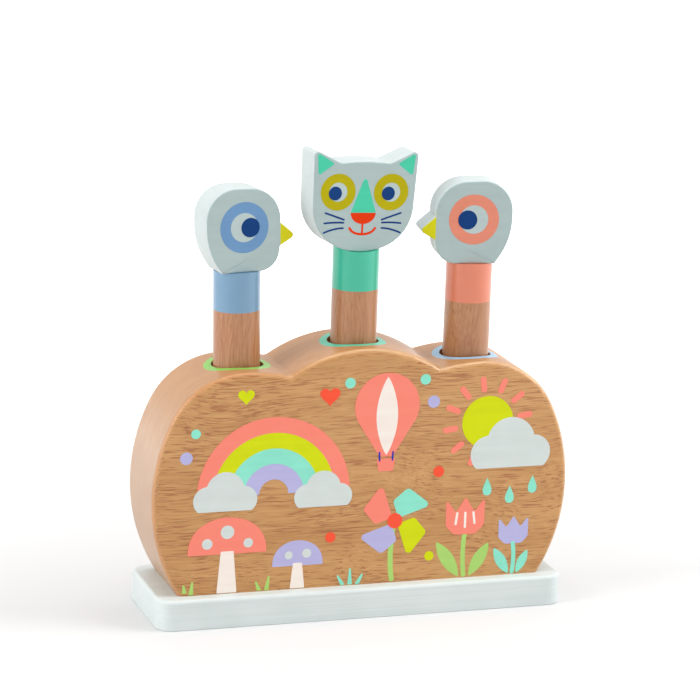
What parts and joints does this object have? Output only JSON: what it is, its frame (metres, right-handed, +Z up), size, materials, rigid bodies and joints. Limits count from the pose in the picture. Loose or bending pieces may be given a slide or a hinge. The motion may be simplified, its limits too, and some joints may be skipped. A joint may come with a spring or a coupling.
{
  "type": "pop up animal toy",
  "caption": "Wooden toy block on a board with sprung animal-headed pegs in its bores; pressing a head compresses a spring that pops the peg up.",
  "frame": {"origin": "middle of the base board's underside, which stands on the table", "axes": "+Z up, +X to the right of the printed front face, -Y the way the printed face and the animal faces look"},
  "size_m": [0.232, 0.068, 0.2504],
  "materials": {
    "white_paint": "white paint, satin",
    "block_wood": "clear lacquer",
    "peg_wood": "clear lacquer with a painted upper band",
    "head_paint": "pale grey-green paint, satin",
    "dowel_wood": "plain",
    "spring_steel": "zinc plated wire",
    "zinc_steel": "zinc plated"
  },
  "bodies": {
    "block": {"base_board": "white_paint", "block": "block_wood", "block_screws": "zinc_steel", "left_spring_washer": "zinc_steel", "centre_spring_washer": "zinc_steel", "right_spring_washer": "zinc_steel", "left_spring_screw": "zinc_steel", "centre_spring_screw": "zinc_steel", "right_spring_screw": "zinc_steel"},
    "left_spring_body": {"left_spring": "spring_steel"},
    "left_bird_figure": {"left_peg": "peg_wood", "left_bird_head": "head_paint", "left_head_dowel": "dowel_wood"},
    "centre_spring_body": {"centre_spring": "spring_steel"},
    "cat_figure": {"centre_peg": "peg_wood", "cat_head": "head_paint", "centre_head_dowel": "dowel_wood"},
    "right_spring_body": {"right_spring": "spring_steel"},
    "right_bird_figure": {"right_peg": "peg_wood", "right_bird_head": "head_paint", "right_head_dowel": "dowel_wood"}
  },
  "joints": [
    {"name": "left_press", "type": "slide", "parent": "block", "child": "left_spring_body", "axis": [0, 0, 1], "range_m": [-0.045, 0], "stiffness_N_per_m": 275, "springref_m": 0.004, "deforming": ["left_spring"]},
    {"name": "left_lift", "type": "slide", "parent": "left_spring_body", "child": "left_bird_figure", "axis": [0, 0, 1], "range_m": [0, 0.08]},
    {"name": "centre_press", "type": "slide", "parent": "block", "child": "centre_spring_body", "axis": [0, 0, 1], "range_m": [-0.045, 0], "stiffness_N_per_m": 275, "springref_m": 0.004, "deforming": ["centre_spring"]},
    {"name": "centre_lift", "type": "slide", "parent": "centre_spring_body", "child": "cat_figure", "axis": [0, 0, 1], "range_m": [0, 0.08]},
    {"name": "right_press", "type": "slide", "parent": "block", "child": "right_spring_body", "axis": [0, 0, 1], "range_m": [-0.045, 0], "stiffness_N_per_m": 275, "springref_m": 0.004, "deforming": ["right_spring"]},
    {"name": "right_lift", "type": "slide", "parent": "right_spring_body", "child": "right_bird_figure", "axis": [0, 0, 1], "range_m": [0, 0.08]}
  ]
}
